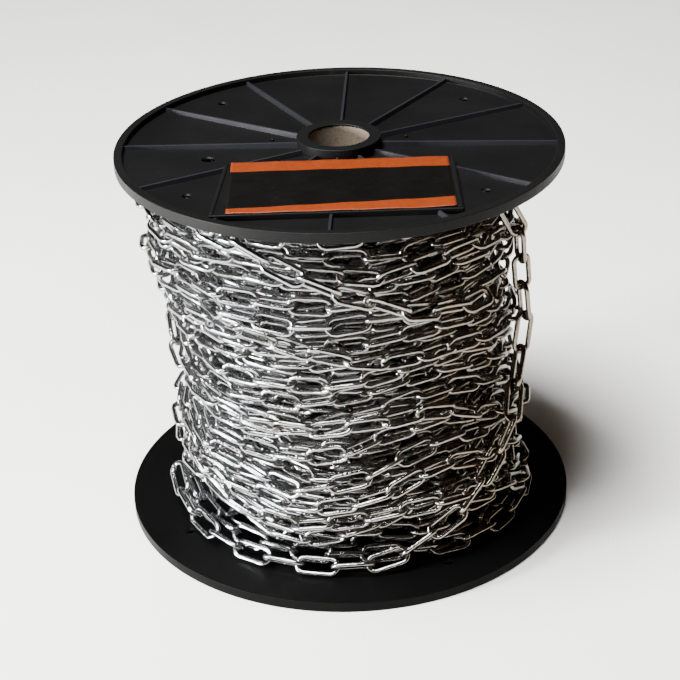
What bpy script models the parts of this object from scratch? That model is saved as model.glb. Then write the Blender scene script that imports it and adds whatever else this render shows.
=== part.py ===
"""Reel of long-link steel chain: a black moulded reel standing on its lower flange, wound full of chain.

Metres, +Z up. The origin is on the floor, on the reel's axis. The camera side of the reel is -Y.
"""

import math

import bmesh
import bpy
from mathutils import Matrix, Vector

MM = 0.001
GAP = 0.3 * MM  # air between pieces that touch on the real reel

# Reel
TOP_FLANGE_RADIUS = 215 * MM
BOTTOM_FLANGE_RADIUS = 227 * MM
REEL_HEIGHT = 386 * MM  # floor to the upper flange's rim
RIM_HEIGHT = 10 * MM
RIM_WIDTH = 8 * MM
RIM_CHAMFER = 1 * MM
WEB_THICKNESS = 4 * MM
BORE_RADIUS = 29 * MM
HUB_RADIUS = 43 * MM
HUB_RISE = 6 * MM  # the upper hub ring stands this far above its rim
HUB_LIP = 2 * MM  # plastic that closes the end of the tube's socket
HUB_CHAMFER = 1 * MM
TUBE_INNER_RADIUS = 29.5 * MM
TUBE_OUTER_RADIUS = 37.5 * MM
TURNED_STEPS = 72
MERGE_DISTANCE = 0.05 * MM
PIN_STEPS = 14

# Ribs, holes and label pad of a flange's outer face
RIB_COUNT = 12
RIB_WIDTH = 3 * MM
RIB_DROP = 0.8 * MM  # rib tops below the rim's top
TOP_TURN = math.radians(-3)
BOTTOM_TURN = math.radians(14.5)
BOLT_HOLE_ANGLES = (46, 135, 221, 321)  # degrees from the flange's first rib
BOLT_HOLE_RADIUS = 5 * MM
BOLT_HOLE_INSET = 39 * MM  # from the flange's edge to the hole's axis
PIN_LENGTH = 80 * MM  # of a hole's cutter
CHAIN_HOLE_RADIUS = 6.8 * MM
CHAIN_HOLE_REACH = 126 * MM
CHAIN_HOLE_ANGLE = math.radians(193)
PAD_HALF_WIDTH = 107 * MM
PAD_NEAR = -170 * MM
PAD_FAR = -46 * MM
PAD_DROP = 0.4 * MM
PAD_LIP_WIDTH = 2.5 * MM
PAD_LIP_HEIGHT = 1.2 * MM
PAD_LIP_NEAR = -168 * MM
PAD_LIP_FAR = -48 * MM
LABEL_SIZE = (202 * MM, 118 * MM, 0.5 * MM)
LABEL_CENTRE_Y = -107 * MM

# Chain: round wire, long links
WIRE = 5 * MM
LINK_INNER_LENGTH = 35 * MM
LINK_WIDTH = 20 * MM
LINK_PITCH = LINK_INNER_LENGTH - 2 * GAP
LINK_END_STEPS = 6  # even, so that a point lies at the end of the link
LINK_ROLL = math.radians(45)
WIRE_RESOLUTION = 2  # of the wire's round section: 8 sides

# Winding: height above the floor against the radius over the links, on its left and right sides
LEFT_PROFILE = (
    (10, 186), (45, 185), (75, 177), (110, 168), (150, 163), (200, 170), (255, 172), (285, 187), (376, 184),
)
RIGHT_PROFILE = ((10, 176), (70, 173), (150, 168), (218, 165), (305, 168), (376, 172))
GUIDE_RADIUS = 1.0  # far outside the reel, so that the outer points are told from the bore's
TURN_COUNT = 17
TURN_ROWS = 2  # rows of points in a turn: the groove beside it and its middle
TURN_GROOVE = 5 * MM
TURN_SLOPE = 4 * MM
LINKS_A_TURN = 30.5
LINK_COLUMNS = 2  # columns of points in a link: its middle and the notch beside it
LINK_NOTCH = 2.5 * MM

# Last turn: angle in degrees, height and radius in mm of the line that its links follow
LAST_TURN_ROUTE = (
    (-31, 352, 176), (-27, 332, 180), (-24, 302, 182), (-21, 272, 182), (-18.5, 236, 182),
    (-19.5, 200, 182), (-24, 168, 182), (-30.5, 138, 182), (-38, 113, 181), (-46, 88, 180),
    (-54.5, 64, 180), (-64, 43, 180), (-74.5, 26, 180), (-86, 19, 180), (-98, 18.4, 180),
    (-110, 18.4, 180), (-122, 18.4, 180), (-134, 19.5, 180), (-146, 24, 180), (-160, 33, 180),
    (-172, 45, 180),
)
ROUTE_STEPS = 24
LAST_TURN_SEAT = 9.2 * MM  # from the line of the links down to the winding below them
SEAT_HALF_WIDTH = 26 * MM
SEAT_BLEND = 14 * MM


def clear_scene():
    """Removes what the file starts with."""
    for obj in list(bpy.data.objects):
        bpy.data.objects.remove(obj, do_unlink=True)


def collection(name):
    """A new collection of the scene."""
    made = bpy.data.collections.new(name)
    bpy.context.scene.collection.children.link(made)
    return made


def finish(name, colour, roughness, metallic):
    """A material with one Principled shader."""
    material = bpy.data.materials.new(name)
    material.use_nodes = True
    shader = material.node_tree.nodes["Principled BSDF"]
    shader.inputs["Base Color"].default_value = (*colour, 1)
    shader.inputs["Roughness"].default_value = roughness
    shader.inputs["Metallic"].default_value = metallic
    return material


def mesh_object(name, builder, material, group):
    """An object from a filled bmesh."""
    mesh = bpy.data.meshes.new(name)
    builder.to_mesh(mesh)
    builder.free()
    mesh.materials.append(material)
    obj = bpy.data.objects.new(name, mesh)
    group.objects.link(obj)
    return obj


def profile_object(name, points, material, group):
    """A closed outline of (radius, height) points in the XZ plane, running down its outer side."""
    builder = bmesh.new()
    corners = [builder.verts.new((radius, 0, height)) for radius, height in points]
    for first, second in zip(corners, corners[1:] + corners[:1]):
        builder.edges.new((first, second))
    return mesh_object(name, builder, material, group)


def turn_profile(obj, steps):
    """Turns an outline round the Z axis."""
    screw = obj.modifiers.new("turned", "SCREW")
    screw.axis = "Z"
    screw.steps = steps
    screw.render_steps = steps
    screw.use_merge_vertices = True
    screw.merge_threshold = MERGE_DISTANCE
    screw.use_normal_calculate = False
    screw.use_smooth_shade = False


def helper_box(name, size, centre, angle, material, group):
    """A box along a radius of the flange, for a Boolean."""
    builder = bmesh.new()
    bmesh.ops.create_cube(builder, size=1)
    bmesh.ops.scale(builder, vec=size, verts=builder.verts)
    bmesh.ops.translate(builder, vec=centre, verts=builder.verts)
    bmesh.ops.rotate(builder, verts=builder.verts, matrix=Matrix.Rotation(angle, 3, "Z"))
    return mark_helper(mesh_object(name, builder, material, group))


def helper_pin(name, radius, place, material, group):
    """An upright round cutter at (x, y), far longer than the web is thick."""
    builder = bmesh.new()
    bmesh.ops.create_cone(
        builder, cap_ends=True, segments=PIN_STEPS, radius1=radius, radius2=radius, depth=PIN_LENGTH
    )
    bmesh.ops.translate(builder, vec=(*place, 0), verts=builder.verts)
    return mark_helper(mesh_object(name, builder, material, group))


def mark_helper(obj):
    """Leaves a cutter or a tool body out of the model."""
    obj.hide_render = True
    obj.display_type = "WIRE"
    return obj


def boolean(obj, operation, group):
    """Joins or cuts the object with each body of a collection in turn, which then moves with it."""
    for body in group.objects:
        body.parent = obj
        modifier = obj.modifiers.new(body.name, "BOOLEAN")
        modifier.operation = operation
        modifier.object = body
        modifier.solver = "EXACT"


def flange_outline(radius, hub_rise):
    """Section of a flange, its inner face at height 0 and its outer face up."""
    hub_top = RIM_HEIGHT + hub_rise
    socket = TUBE_OUTER_RADIUS + GAP
    return (
        (radius, RIM_HEIGHT - RIM_CHAMFER),
        (radius, RIM_CHAMFER),
        (radius - RIM_CHAMFER, 0),
        (socket, 0),
        (socket, hub_top - HUB_LIP),
        (BORE_RADIUS, hub_top - HUB_LIP),
        (BORE_RADIUS, hub_top - HUB_CHAMFER),
        (BORE_RADIUS + HUB_CHAMFER, hub_top),
        (HUB_RADIUS - HUB_CHAMFER, hub_top),
        (HUB_RADIUS, hub_top - HUB_CHAMFER),
        (HUB_RADIUS, WEB_THICKNESS),
        (radius - RIM_WIDTH, WEB_THICKNESS),
        (radius - RIM_WIDTH, RIM_HEIGHT),
        (radius - RIM_CHAMFER, RIM_HEIGHT),
    )


def flange_ribs(name, radius, turn, material, group):
    """Radial ribs between the hub ring and the rim."""
    start = HUB_RADIUS - RIM_CHAMFER
    end = radius - RIM_WIDTH / 2
    foot = WEB_THICKNESS / 2
    top = RIM_HEIGHT - RIB_DROP
    size = (end - start, RIB_WIDTH, top - foot)
    centre = ((start + end) / 2, 0, (foot + top) / 2)
    for index in range(RIB_COUNT):
        angle = turn + index * math.tau / RIB_COUNT
        helper_box(f"{name}_rib_{index + 1:02d}", size, centre, angle, material, group)


def flange_pad(name, material, group):
    """The flat pad for the label, with a raised lip along each side."""
    foot = WEB_THICKNESS / 3
    top = RIM_HEIGHT - PAD_DROP
    size = (2 * PAD_HALF_WIDTH, PAD_FAR - PAD_NEAR, top - foot)
    centre = (0, (PAD_FAR + PAD_NEAR) / 2, (foot + top) / 2)
    helper_box(f"{name}_pad", size, centre, 0, material, group)
    lip_foot = top - PAD_LIP_HEIGHT
    lip_top = top + PAD_LIP_HEIGHT
    for side in (-1, 1):
        size = (PAD_LIP_WIDTH, PAD_LIP_FAR - PAD_LIP_NEAR, lip_top - lip_foot)
        centre = (side * (PAD_HALF_WIDTH - PAD_LIP_WIDTH), (PAD_LIP_FAR + PAD_LIP_NEAR) / 2, top)
        helper_box(f"{name}_lip_{'left' if side < 0 else 'right'}", size, centre, 0, material, group)


def flange_holes(name, radius, turn, material, group):
    """Four bolt holes between the ribs, and the larger hole for the chain's inner end."""
    reach = radius - BOLT_HOLE_INSET
    for index, degrees in enumerate(BOLT_HOLE_ANGLES):
        angle = turn + math.radians(degrees)
        place = (reach * math.cos(angle), reach * math.sin(angle))
        helper_pin(f"{name}_hole_{index + 1}", BOLT_HOLE_RADIUS, place, material, group)
    angle = turn + CHAIN_HOLE_ANGLE
    place = (CHAIN_HOLE_REACH * math.cos(angle), CHAIN_HOLE_REACH * math.sin(angle))
    helper_pin(f"{name}_chain_hole", CHAIN_HOLE_RADIUS, place, material, group)


def add_flange(name, radius, hub_rise, turn, has_lips, material, group):
    """A moulded flange with its outer face up and its inner face at height 0."""
    obj = profile_object(name, flange_outline(radius, hub_rise), material, group)
    turn_profile(obj, TURNED_STEPS)
    raised = collection(f"{name}_raised")
    flange_ribs(name, radius, turn, material, raised)
    if has_lips:
        flange_pad(name, material, raised)
    boolean(obj, "UNION", raised)
    cutters = collection(f"{name}_cutters")
    flange_holes(name, radius, turn, material, cutters)
    boolean(obj, "DIFFERENCE", cutters)
    return obj


def add_core_tube(material, group):
    """The board tube that joins the flanges, held in the socket of each hub."""
    low = HUB_LIP + GAP
    high = REEL_HEIGHT + HUB_RISE - HUB_LIP - GAP
    outline = (
        (TUBE_OUTER_RADIUS, high),
        (TUBE_OUTER_RADIUS, low),
        (TUBE_INNER_RADIUS, low),
        (TUBE_INNER_RADIUS, high),
    )
    obj = profile_object("core_tube", outline, material, group)
    turn_profile(obj, TURNED_STEPS // 2)


def add_label(material, group):
    """The printed label on the upper flange's pad."""
    builder = bmesh.new()
    bmesh.ops.create_cube(builder, size=1)
    bmesh.ops.scale(builder, vec=LABEL_SIZE, verts=builder.verts)
    obj = mesh_object("label", builder, material, group)
    pad_top = REEL_HEIGHT - PAD_DROP
    obj.location = (0, LABEL_CENTRE_Y, pad_top + GAP + LABEL_SIZE[2] / 2)


def smooth_table(table, height):
    """Radius in metres at a height, eased between the points of a table in mm."""
    at = height / MM
    if at <= table[0][0]:
        return table[0][1] * MM
    for (low, first), (high, second) in zip(table, table[1:]):
        if at <= high:
            part = (at - low) / (high - low)
            eased = part * part * (3 - 2 * part)
            return (first + (second - first) * eased) * MM
    return table[-1][1] * MM


def winding_radius(angle, height):
    """Radius over the links, between the left profile at 180 degrees and the right one at 0."""
    left = smooth_table(LEFT_PROFILE, height)
    right = smooth_table(RIGHT_PROFILE, height)
    return (left + right) / 2 + (right - left) / 2 * math.cos(angle)


def route_points():
    """The last turn's line as close points, a smooth curve through the route's own points."""
    route = [
        Vector((math.radians(angle), height * MM, radius * MM)) for angle, height, radius in LAST_TURN_ROUTE
    ]
    padded = [2 * route[0] - route[1]] + route + [2 * route[-1] - route[-2]]
    points = []
    for before, first, second, after in zip(padded, padded[1:], padded[2:], padded[3:]):
        for step in range(ROUTE_STEPS):
            t = step / ROUTE_STEPS
            point = 0.5 * (
                2 * first
                + (second - before) * t
                + (2 * before - 5 * first + 4 * second - after) * t**2
                + (3 * first - before - 3 * second + after) * t**3
            )
            points.append(point)
    points.append(route[-1])
    return points


def seat_depth(angle, height, points):
    """Largest radius that the winding may have here, so that the last turn lies on it."""
    limit = math.inf
    for route_angle, route_height, route_radius in points:
        sideways = math.remainder(angle - route_angle, math.tau) * route_radius
        away = math.hypot(sideways, height - route_height)
        rise = max(0, away - SEAT_HALF_WIDTH) / SEAT_BLEND
        limit = min(limit, route_radius - LAST_TURN_SEAT + rise * LINK_WIDTH)
    return limit


def relief_depth(row, column):
    """How far a point of the winding lies below the radius over the links."""
    if row % TURN_ROWS == 0:
        return TURN_GROOVE
    shift = row // TURN_ROWS  # each turn's links lie beside the notches of the turn above
    return LINK_NOTCH if (column + shift) % LINK_COLUMNS == 0 else 0


def winding_outline():
    """Section of the winding: a turn's rows of points for each turn, and the bore."""
    low = RIM_HEIGHT + GAP
    high = REEL_HEIGHT - RIM_HEIGHT - GAP
    rows = TURN_ROWS * TURN_COUNT
    outer = [(GUIDE_RADIUS, high + (low - high) * row / rows) for row in range(rows + 1)]
    bore = TUBE_OUTER_RADIUS + GAP
    return outer + [(bore, low), (bore, high)]


def add_winding(points, material, group):
    """All the chain but the last turn, as one turned body with the relief of its outer links."""
    steps = round(LINK_COLUMNS * LINKS_A_TURN)
    guide = profile_object("winding_guide", winding_outline(), material, group)
    turn_profile(guide, steps)
    graph = bpy.context.evaluated_depsgraph_get()
    mesh = bpy.data.meshes.new_from_object(guide.evaluated_get(graph))
    bpy.data.objects.remove(guide, do_unlink=True)
    low = RIM_HEIGHT + GAP
    high = REEL_HEIGHT - RIM_HEIGHT - GAP
    row_height = (high - low) / (TURN_ROWS * TURN_COUNT)
    for vertex in mesh.vertices:
        x, y, height = vertex.co
        if math.hypot(x, y) < GUIDE_RADIUS / 2:
            continue
        angle = math.atan2(y, x)
        row = round((high - height) / row_height)
        column = round(angle / math.tau * steps) % steps
        radius = winding_radius(angle, height) - relief_depth(row, column)
        radius = min(radius, seat_depth(angle, height, points))
        inside = math.sin(math.pi * (height - low) / (high - low))
        height += TURN_SLOPE * inside * math.cos(angle)
        vertex.co = (radius * math.cos(angle), radius * math.sin(angle), height)
    mesh.name = "chain_winding"
    group.objects.link(bpy.data.objects.new("chain_winding", mesh))


def link_curve(material):
    """One link's wire as a closed curve, long side along X, lying in the XY plane."""
    end_radius = (LINK_WIDTH - WIRE) / 2
    reach = LINK_INNER_LENGTH / 2 + WIRE / 2 - end_radius
    points = []
    for side in (1, -1):
        for step in range(LINK_END_STEPS + 1):
            angle = -math.pi / 2 + math.pi * step / LINK_END_STEPS
            along = reach + end_radius * math.cos(angle)
            points.append((side * along, side * end_radius * math.sin(angle)))
    curve = bpy.data.curves.new("link", "CURVE")
    curve.dimensions = "3D"
    curve.bevel_depth = WIRE / 2
    curve.bevel_resolution = WIRE_RESOLUTION
    spline = curve.splines.new("POLY")
    spline.points.add(len(points) - 1)
    for target, (x, y) in zip(spline.points, points):
        target.co = (x, y, 0, 1)
    spline.use_cyclic_u = True
    curve.materials.append(material)
    return curve


def place_on_reel(point):
    """World position of an (angle, height, radius) point."""
    angle, height, radius = point
    return Vector((radius * math.cos(angle), radius * math.sin(angle), height))


def joint_places(points):
    """Where one link of the last turn bears on the next, a link's pitch apart along the line."""
    places = [place_on_reel(points[0])]
    for point in points[1:]:
        place = place_on_reel(point)
        if (place - places[-1]).length >= LINK_PITCH:
            direction = (place - places[-1]).normalized()
            places.append(places[-1] + direction * LINK_PITCH)
    return places


def add_last_turn(points, material, group):
    """The last turn's links, each rolled to the other side from the one before."""
    curve = link_curve(material)
    places = joint_places(points)
    for index, (start, end) in enumerate(zip(places, places[1:])):
        centre = (start + end) / 2
        along = (end - start).normalized()
        outward = Vector((centre.x, centre.y, 0)).normalized()
        across = outward.cross(along).normalized()
        outward = along.cross(across)
        roll = LINK_ROLL if index % 2 == 0 else -LINK_ROLL
        width = across * math.cos(roll) + outward * math.sin(roll)
        obj = bpy.data.objects.new(f"last_turn_link_{index + 1:02d}", curve)
        turned = Matrix((along, width, along.cross(width))).transposed()
        obj.matrix_world = Matrix.Translation(centre) @ turned.to_4x4()
        group.objects.link(obj)


def main():
    """Builds the reel and its chain."""
    clear_scene()
    group = collection("reel_of_steel_chain")
    plastic = finish("moulded_black_plastic", (0.012, 0.012, 0.013), 0.45, 0.0)
    board = finish("kraft_board", (0.25, 0.19, 0.13), 0.85, 0.0)
    print_film = finish("printed_label_film", (0.02, 0.02, 0.024), 0.4, 0.0)
    steel = finish("zinc_plated_steel", (0.62, 0.63, 0.64), 0.3, 1.0)
    top = add_flange("top_flange", TOP_FLANGE_RADIUS, HUB_RISE, TOP_TURN, True, plastic, group)
    top.location = (0, 0, REEL_HEIGHT - RIM_HEIGHT)
    bottom = add_flange("bottom_flange", BOTTOM_FLANGE_RADIUS, 0, BOTTOM_TURN, False, plastic, group)
    bottom.location = (0, 0, RIM_HEIGHT)
    bottom.rotation_euler = (math.pi, 0, 0)
    add_core_tube(board, group)
    add_label(print_film, group)
    points = route_points()
    add_winding(points, steel, group)
    add_last_turn(points, steel, group)


if __name__ == "__main__":
    main()
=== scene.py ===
"""Looks of a reel of long-link steel chain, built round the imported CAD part.

Metres, +Z up. The origin is on the floor on the reel's axis, and the camera side of the reel is -Y.
The winding is laid link by link over a map of its own surface, so that each link bears on those below it.
"""

import logging
import math
import random
from collections.abc import Callable, Iterable, Mapping, Sequence
from dataclasses import dataclass, field
from enum import Enum, IntEnum
from typing import Any

import bmesh
import bpy
from mathutils import Matrix, Vector


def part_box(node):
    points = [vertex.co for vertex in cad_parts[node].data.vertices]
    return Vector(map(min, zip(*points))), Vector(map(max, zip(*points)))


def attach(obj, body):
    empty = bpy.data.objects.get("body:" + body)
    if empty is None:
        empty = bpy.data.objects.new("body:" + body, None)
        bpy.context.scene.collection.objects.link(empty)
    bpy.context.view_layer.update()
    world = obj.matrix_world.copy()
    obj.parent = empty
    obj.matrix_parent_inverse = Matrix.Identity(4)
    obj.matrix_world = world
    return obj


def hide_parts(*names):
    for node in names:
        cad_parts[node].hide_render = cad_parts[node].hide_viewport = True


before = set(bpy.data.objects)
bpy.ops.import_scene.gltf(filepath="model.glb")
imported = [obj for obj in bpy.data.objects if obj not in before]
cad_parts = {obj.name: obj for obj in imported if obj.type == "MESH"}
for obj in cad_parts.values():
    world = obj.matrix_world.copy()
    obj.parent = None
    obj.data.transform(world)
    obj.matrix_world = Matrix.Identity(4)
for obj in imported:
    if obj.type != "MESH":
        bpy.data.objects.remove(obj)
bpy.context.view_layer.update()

MM = 0.001
MERGE_DISTANCE = 0.01 * MM
POLYPROPYLENE_IOR = 1.49
LOG = logging.getLogger("reel_of_chain")

# A Box is two corners, a Place two measures on a surface or link, a Profile and a Route rows of points
Box = tuple[Vector, Vector]
Place = tuple[float, float]
Profile = tuple[Place, ...]
Route = tuple[tuple[float, float, float], ...]
Settings = Mapping[str | int, Any]
Sources = Mapping[str | int, bpy.types.NodeSocket]


class Slot(Enum):
    """The record's material slots."""

    PLASTIC = "moulded_black_plastic"
    STEEL = "zinc_plated_steel"
    BOARD = "kraft_board"
    PRINT = "printed_label_film"


class Face(Enum):
    """Which way a flange's ribbed outer face looks."""

    UP = 1
    DOWN = -1


class Mix(IntEnum):
    """A Mix node's colour sockets by number, because those of its other data types have the same names."""

    SHARE = 0
    FIRST = 6
    SECOND = 7
    RESULT = 2


def linear(code: str) -> tuple[float, float, float, float]:
    """Linear colour of an sRGB hex value.

    Args:
        code: Six hex digits after a hash.

    Returns:
        Red, green, blue and an alpha of 1.
    """
    shares = [int(code[place : place + 2], 16) / 255 for place in (1, 3, 5)]
    red, green, blue = [
        ((share + 0.055) / 1.055) ** 2.4 if share > 0.04045 else share / 12.92 for share in shares
    ]
    return red, green, blue, 1.0


def polar(radius: float, angle: float, height: float) -> Vector:
    """A place by its distance from the reel's axis, its angle and its height."""
    return Vector((radius * math.cos(angle), radius * math.sin(angle), height))


def feed(tree: bpy.types.NodeTree, node: bpy.types.Node, settings: Settings, links: Sources) -> None:
    """Gives a node its settings and what feeds it.

    Args:
        tree: Node tree of a material or world.
        node: A node of it.
        settings: Attributes by name, and input values by socket name or number.
        links: Output sockets of other nodes, by the name or number of the input that each feeds.
    """
    attributes = {
        name: value for name, value in settings.items() if isinstance(name, str) and hasattr(node, name)
    }
    for name, value in attributes.items():
        setattr(node, name, value)
    for name, value in settings.items():
        if name not in attributes:
            node.inputs[name].default_value = value
    for name, source in links.items():
        tree.links.new(source, node.inputs[name])


def add_node(tree: bpy.types.NodeTree, kind: str, settings: Settings, links: Sources) -> bpy.types.Node:
    """Adds a node with its settings and links.

    Args:
        tree: Node tree of a material or world.
        kind: The node's type name.
        settings: Attributes and input values, as feed takes them.
        links: Output sockets of other nodes, as feed takes them.

    Returns:
        The new node.
    """
    node = tree.nodes.new(kind)
    feed(tree, node, settings, links)
    return node


def new_material(
    name: str,
) -> tuple[bpy.types.Material, bpy.types.NodeTree, bpy.types.Node, bpy.types.NodeSocket]:
    """A new material and what every finish needs of it.

    Args:
        name: The material's name.

    Returns:
        The material, its tree, its Principled shader and the Object coordinates.
    """
    material = bpy.data.materials.new(name)
    material.use_nodes = True
    tree = material.node_tree
    place = add_node(tree, "ShaderNodeTexCoord", {}, {}).outputs["Object"]
    return material, tree, tree.nodes["Principled BSDF"], place


@dataclass(frozen=True)
class Blotches:
    """A pattern of cloudy blotches of a real size.

    Attributes:
        size: Width of a blotch in metres.
        detail: How many finer octaves it has.
        low: Noise value that becomes 0.
        high: Noise value that becomes 1.
    """

    size: float
    detail: float
    low: float = 0.3
    high: float = 0.7

    def add(self, tree: bpy.types.NodeTree, place: bpy.types.NodeSocket) -> bpy.types.NodeSocket:
        """Adds the pattern to a material.

        Args:
            tree: The material's tree.
            place: Coordinates in metres.

        Returns:
            The pattern's value, from 0 to 1.
        """
        settings = {"Scale": 1 / self.size, "Detail": self.detail}
        cloud = add_node(tree, "ShaderNodeTexNoise", settings, {"Vector": place}).outputs["Fac"]
        limits = {"From Min": self.low, "From Max": self.high}
        return add_node(tree, "ShaderNodeMapRange", limits, {"Value": cloud}).outputs["Result"]


@dataclass(frozen=True)
class MouldedPlastic:
    """Black polypropylene, injection moulded: near black, with a soft sheen and light scuffs.

    The grain that the mould's spark-eroded face gives it is too fine to show, so it is drawn several times
    as coarse.
    """

    name: str
    colour: str = "#0b0b0b"
    dust: str = "#2f2d29"
    dust_share: float = 0.10
    flow: Blotches = Blotches(size=60 * MM, detail=4.0, low=0.35, high=0.68)
    grain: Blotches = Blotches(size=0.9 * MM, detail=2.0)
    grain_depth: float = 0.03 * MM
    scratch: Blotches = Blotches(size=14 * MM, detail=5.0, low=0.62, high=0.72)
    scratch_stretch: float = 14.0
    scratch_slant: float = 0.6
    speck: Blotches = Blotches(size=3.5 * MM, detail=3.0, low=0.6, high=0.75)
    shine: tuple[float, float] = (0.38, 0.52)
    specular: float = 0.09

    def build(self) -> bpy.types.Material:
        """Makes the material, with grain, cloudy gloss, dust and fine scratches.

        Returns:
            The material.
        """
        material, tree, shader, place = new_material(self.name)
        cloud = self.flow.add(tree, place)
        grain = self.grain.add(tree, place)
        stretch = {"Scale": (1.0, self.scratch_stretch, 1.0), "Rotation": (0, 0, self.scratch_slant)}
        drawn_out = add_node(tree, "ShaderNodeMapping", stretch, {"Vector": place})
        scratch = self.scratch.add(tree, drawn_out.outputs["Vector"])
        speck = self.speck.add(tree, place)
        dust = add_node(tree, "ShaderNodeMath", {"operation": "MULTIPLY"}, {0: speck, 1: cloud})
        marks = add_node(tree, "ShaderNodeMath", {"operation": "MAXIMUM"}, {0: dust.outputs[0], 1: scratch})
        most = {"To Max": self.dust_share}
        share = add_node(tree, "ShaderNodeMapRange", most, {"Value": marks.outputs[0]})
        tones = {"data_type": "RGBA", Mix.FIRST: linear(self.colour), Mix.SECOND: linear(self.dust)}
        colour = add_node(tree, "ShaderNodeMix", tones, {Mix.SHARE: share.outputs["Result"]})
        gloss = {"To Min": self.shine[0], "To Max": self.shine[1]}
        roughness = add_node(tree, "ShaderNodeMapRange", gloss, {"Value": cloud})
        depth = {"Strength": 1.0, "Distance": self.grain_depth}
        relief = add_node(tree, "ShaderNodeBump", depth, {"Height": grain})
        sources = {
            "Base Color": colour.outputs[Mix.RESULT],
            "Roughness": roughness.outputs["Result"],
            "Normal": relief.outputs["Normal"],
        }
        feed(tree, shader, {"IOR": POLYPROPYLENE_IOR, "Specular IOR Level": self.specular}, sources)
        return material


@dataclass(frozen=True)
class ZincPlate:
    """Steel wire, bright zinc plated: a cool grey metal of uneven gloss, with painted shade, darker and
    warmer, at the right.

    The marks that drawing leaves along the wire are too fine to show, so they are drawn coarser.
    """

    name: str
    colour: str = "#b8babd"
    # Painted shade and warm reflection: the colour that the metal turns to at the right
    warm: str = "#7a7266"
    dull: str = "#5d5850"
    painted_shade_from: float = -90 * MM
    painted_shade_to: float = 130 * MM
    shine: tuple[float, float] = (0.1, 0.28)
    plating: Blotches = Blotches(size=9 * MM, detail=4.0, low=0.35, high=0.65)
    spot: Blotches = Blotches(size=2.2 * MM, detail=3.0, low=0.55, high=0.8)
    draw_marks: Blotches = Blotches(size=2.4 * MM, detail=3.0)
    mark_depth: float = 0.16 * MM

    def build(self) -> bpy.types.Material:
        """Makes the material, with a tone for each link, cloudy plating and draw marks.

        Returns:
            The material.
        """
        material, tree, shader, place = new_material(self.name)
        tone = add_node(tree, "ShaderNodeAttribute", {"attribute_name": "link_tone"}, {}).outputs["Fac"]
        cloud = self.plating.add(tree, place)
        spot = self.spot.add(tree, place)
        worn = add_node(tree, "ShaderNodeMath", {"operation": "MULTIPLY"}, {0: tone, 1: cloud}).outputs[0]
        # Painted shade: the metal turns darker and warmer from left to right, for the dimmer, warmer light at
        # the right
        across = add_node(tree, "ShaderNodeSeparateXYZ", {}, {0: place}).outputs["X"]
        reach = {"From Min": self.painted_shade_from, "From Max": self.painted_shade_to}
        painted_shade_share = add_node(tree, "ShaderNodeMapRange", reach, {"Value": across}).outputs["Result"]
        tones = {"data_type": "RGBA", Mix.FIRST: linear(self.colour), Mix.SECOND: linear(self.warm)}
        plate_with_painted_shade = add_node(tree, "ShaderNodeMix", tones, {Mix.SHARE: painted_shade_share}).outputs[Mix.RESULT]
        share = add_node(tree, "ShaderNodeMath", {"operation": "MAXIMUM"}, {0: worn, 1: spot}).outputs[0]
        bloom = {"data_type": "RGBA", Mix.SECOND: linear(self.dull)}
        colour = add_node(tree, "ShaderNodeMix", bloom, {Mix.SHARE: share, Mix.FIRST: plate_with_painted_shade})
        gloss = {"To Min": self.shine[0], "To Max": self.shine[1]}
        roughness = add_node(tree, "ShaderNodeMapRange", gloss, {"Value": worn})
        marks = self.draw_marks.add(tree, place)
        depth = {"Strength": 1.0, "Distance": self.mark_depth}
        relief = add_node(tree, "ShaderNodeBump", depth, {"Height": marks})
        sources = {
            "Base Color": colour.outputs[Mix.RESULT],
            "Roughness": roughness.outputs["Result"],
            "Normal": relief.outputs["Normal"],
        }
        feed(tree, shader, {"Metallic": 1.0}, sources)
        return material


@dataclass(frozen=True)
class InnerTurns:
    """The hidden turns' stand-in, a dark body of painted shade: zinc in deep shade, with painted glints where
    a real turn has its wires.

    Its level streaks of painted glint are drawn about twice a wire's width, because a wire's would be too
    fine to show.
    """

    name: str
    # Painted shade: the hidden turns' colour in the dark gaps
    dark: str = "#0c0c0c"
    # Painted glints: the colour of the level streaks
    light: str = "#8d8b87"
    painted_glint_streak: Blotches = Blotches(size=27 * MM, detail=4.0, low=0.42, high=0.62)
    flattening: float = 3.0
    depth: float = 3 * MM
    metallic: float = 0.9
    roughness: float = 0.35

    def build(self) -> bpy.types.Material:
        """Makes the material, with level streaks of painted glint on the metal and painted shade between
        them.

        Returns:
            The material.
        """
        material, tree, shader, place = new_material(self.name)
        stretch = {"Scale": (1.0, 1.0, self.flattening)}
        level = add_node(tree, "ShaderNodeMapping", stretch, {"Vector": place}).outputs["Vector"]
        painted_glint_streak = self.painted_glint_streak.add(tree, level)
        tones = {"data_type": "RGBA", Mix.FIRST: linear(self.dark), Mix.SECOND: linear(self.light)}
        colour = add_node(tree, "ShaderNodeMix", tones, {Mix.SHARE: painted_glint_streak})
        depth = {"Strength": 1.0, "Distance": self.depth}
        relief = add_node(tree, "ShaderNodeBump", depth, {"Height": painted_glint_streak})
        sources = {"Base Color": colour.outputs[Mix.RESULT], "Normal": relief.outputs["Normal"]}
        feed(tree, shader, {"Metallic": self.metallic, "Roughness": self.roughness}, sources)
        return material


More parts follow.
